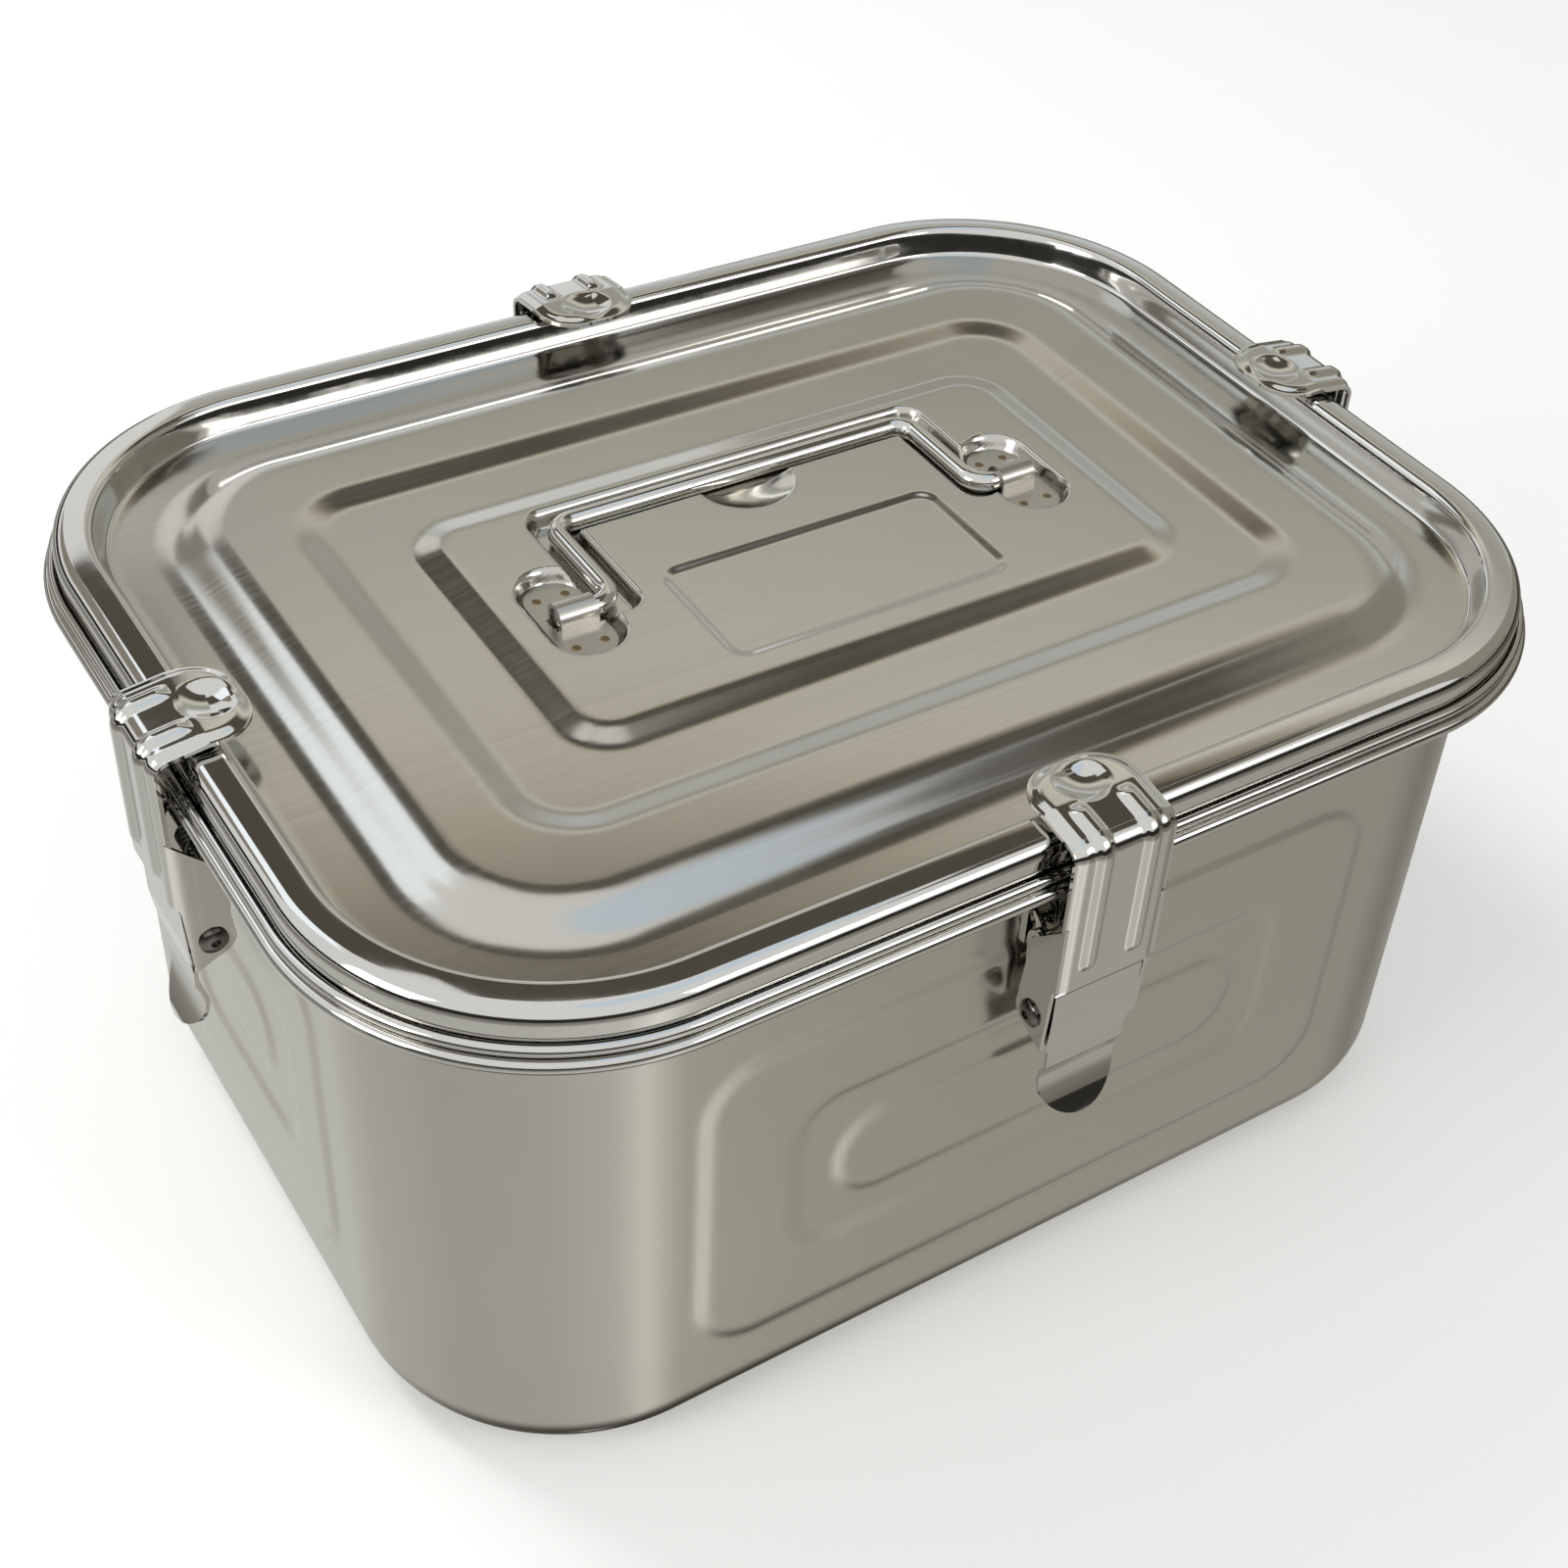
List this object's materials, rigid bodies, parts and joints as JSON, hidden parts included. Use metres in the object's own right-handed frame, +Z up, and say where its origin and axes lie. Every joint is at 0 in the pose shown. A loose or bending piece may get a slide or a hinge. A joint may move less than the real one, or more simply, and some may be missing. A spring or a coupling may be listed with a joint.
{
  "type": "stainless steel lunch box",
  "caption": "Deep rounded-rectangular stainless steel lunch box with a lift-off sealed lid, a folding bail handle sunk in the lid, and over-centre latches on its sides.",
  "frame": {"origin": "middle of the base, on the surface the box stands on", "axes": "+X along the long side, +Y from the front to the back, +Z up"},
  "size_m": [0.3302, 0.2562, 0.1619],
  "materials": {
    "satin_steel": "satin",
    "polished_steel": "polished",
    "spring_steel": "satin",
    "dark_rivet": "satin",
    "silicone": "matte"
  },
  "bodies": {
    "box": {"box_body": "satin_steel", "latch_front_base": "polished_steel", "latch_front_base_pin": "polished_steel", "latch_front_spring": "spring_steel", "latch_back_base": "polished_steel", "latch_back_base_pin": "polished_steel", "latch_back_spring": "spring_steel", "latch_left_base": "polished_steel", "latch_left_base_pin": "polished_steel", "latch_left_spring": "spring_steel", "latch_right_base": "polished_steel", "latch_right_base_pin": "polished_steel", "latch_right_spring": "spring_steel"},
    "lid": {"lid_shell": "polished_steel", "lid_gasket": "silicone", "handle_bracket_left": "polished_steel", "handle_bracket_right": "polished_steel"},
    "handle": {"carry_handle": "polished_steel"},
    "lever_front": {"latch_front_lever": "polished_steel", "latch_front_hook_pin": "dark_rivet"},
    "hook_front": {"latch_front_hook": "polished_steel"},
    "lever_back": {"latch_back_lever": "polished_steel", "latch_back_hook_pin": "dark_rivet"},
    "hook_back": {"latch_back_hook": "polished_steel"},
    "lever_left": {"latch_left_lever": "polished_steel", "latch_left_hook_pin": "dark_rivet"},
    "hook_left": {"latch_left_hook": "polished_steel"},
    "lever_right": {"latch_right_lever": "polished_steel", "latch_right_hook_pin": "dark_rivet"},
    "hook_right": {"latch_right_hook": "polished_steel"}
  },
  "joints": [
    {"name": "lid_lift", "type": "slide", "parent": "box", "child": "lid", "axis": [0, 0, 1], "range_m": [0, 0.015]},
    {"name": "handle_swing", "type": "hinge", "parent": "lid", "child": "handle", "pos_m": [0, 0, 0.1528], "axis": [1, 0, 0], "range_deg": [0, 133]},
    {"name": "lever_front_swing", "type": "hinge", "parent": "box", "child": "lever_front", "pos_m": [0, -0.11635, 0.12424], "axis": [-1, 0, 0], "range_deg": [0, 60]},
    {"name": "hook_front_swing", "type": "hinge", "parent": "lever_front", "child": "hook_front", "pos_m": [0, -0.1194, 0.1065], "axis": [1, 0, 0], "range_deg": [0, 113.4]},
    {"name": "lever_back_swing", "type": "hinge", "parent": "box", "child": "lever_back", "pos_m": [0, 0.11635, 0.12424], "axis": [1, 0, 0], "range_deg": [0, 60]},
    {"name": "hook_back_swing", "type": "hinge", "parent": "lever_back", "child": "hook_back", "pos_m": [0, 0.1194, 0.1065], "axis": [-1, 0, 0], "range_deg": [0, 113.4]},
    {"name": "lever_left_swing", "type": "hinge", "parent": "box", "child": "lever_left", "pos_m": [-0.15335, 0, 0.12424], "axis": [0, 1, 0], "range_deg": [0, 60]},
    {"name": "hook_left_swing", "type": "hinge", "parent": "lever_left", "child": "hook_left", "pos_m": [-0.1564, 0, 0.1065], "axis": [0, -1, 0], "range_deg": [0, 113.4]},
    {"name": "lever_right_swing", "type": "hinge", "parent": "box", "child": "lever_right", "pos_m": [0.15335, 0, 0.12424], "axis": [0, -1, 0], "range_deg": [0, 60]},
    {"name": "hook_right_swing", "type": "hinge", "parent": "lever_right", "child": "hook_right", "pos_m": [0.1564, 0, 0.1065], "axis": [0, 1, 0], "range_deg": [0, 113.4]}
  ],
  "couplings": [
    {"joint": "lever_front_swing", "follows": "lid_lift", "rad_per_m": 69.813},
    {"joint": "hook_front_swing", "follows": "lid_lift", "rad_per_m": 131.95},
    {"joint": "lever_back_swing", "follows": "lid_lift", "rad_per_m": 69.813},
    {"joint": "hook_back_swing", "follows": "lid_lift", "rad_per_m": 131.95},
    {"joint": "lever_left_swing", "follows": "lid_lift", "rad_per_m": 69.813},
    {"joint": "hook_left_swing", "follows": "lid_lift", "rad_per_m": 131.95},
    {"joint": "lever_right_swing", "follows": "lid_lift", "rad_per_m": 69.813},
    {"joint": "hook_right_swing", "follows": "lid_lift", "rad_per_m": 131.95}
  ]
}
